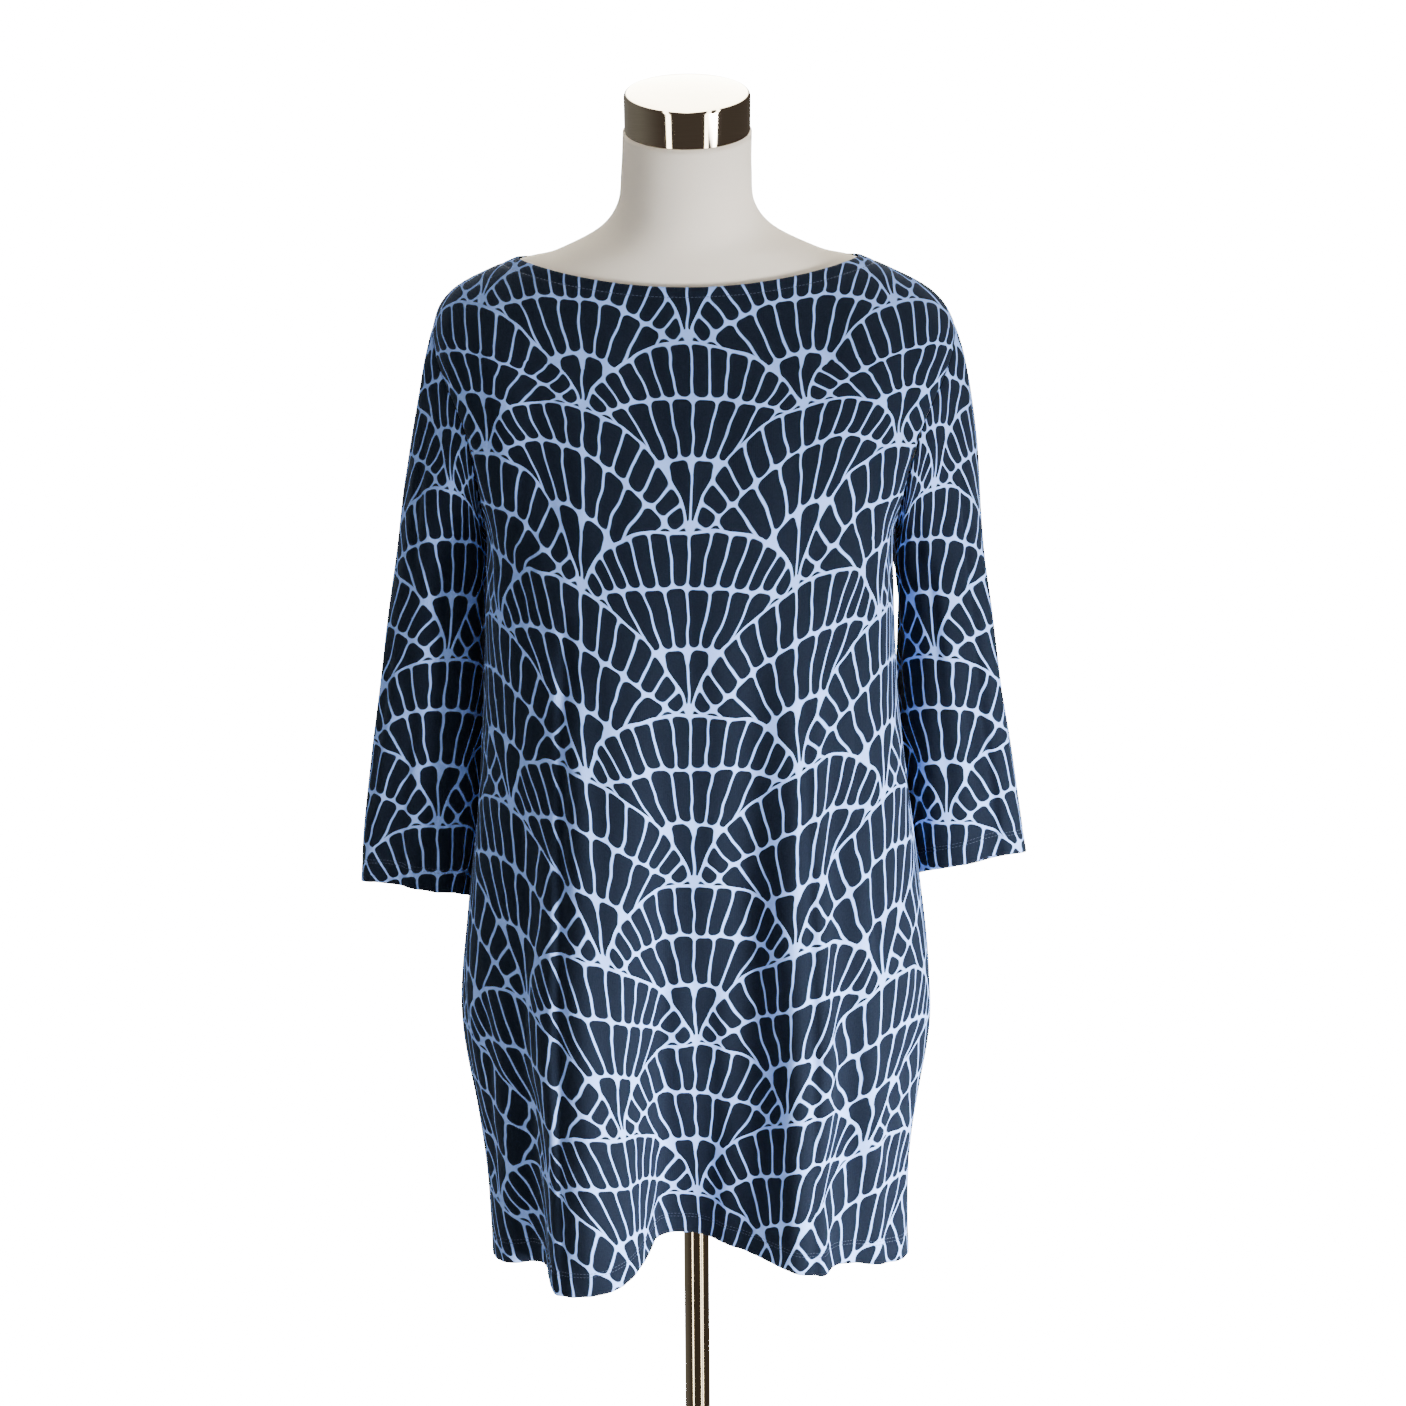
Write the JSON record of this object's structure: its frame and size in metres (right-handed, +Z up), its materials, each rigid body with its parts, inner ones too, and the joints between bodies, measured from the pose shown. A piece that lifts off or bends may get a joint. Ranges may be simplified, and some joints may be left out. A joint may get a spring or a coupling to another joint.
{
  "type": "tunic top on a limbless dress form",
  "caption": "Boat-neck jersey tunic with three-quarter sleeves and a softly folded hem, worn by a limbless dress form on a pole with a round base plate.",
  "frame": {"origin": "centre of the base plate's underside, on the floor", "axes": "+Z up, the front of the tunic towards -Y, +X to the right as seen from the front"},
  "size_m": [0.6, 0.34, 1.5401],
  "materials": {
    "printed_jersey": "matte cotton jersey, navy print on pale blue",
    "form_jersey": "matte off-white knitted cover",
    "brushed_steel": "fine brushed",
    "dark_steel": "satin, warm grey"
  },
  "bodies": {
    "root": {"tunic_front": "printed_jersey", "tunic_back": "printed_jersey", "sleeve_left": "printed_jersey", "sleeve_right": "printed_jersey", "form_torso": "form_jersey", "neck_cap": "brushed_steel", "form_socket": "dark_steel", "pole": "dark_steel", "pole_collar": "dark_steel", "base_plate": "dark_steel"}
  },
  "joints": []
}
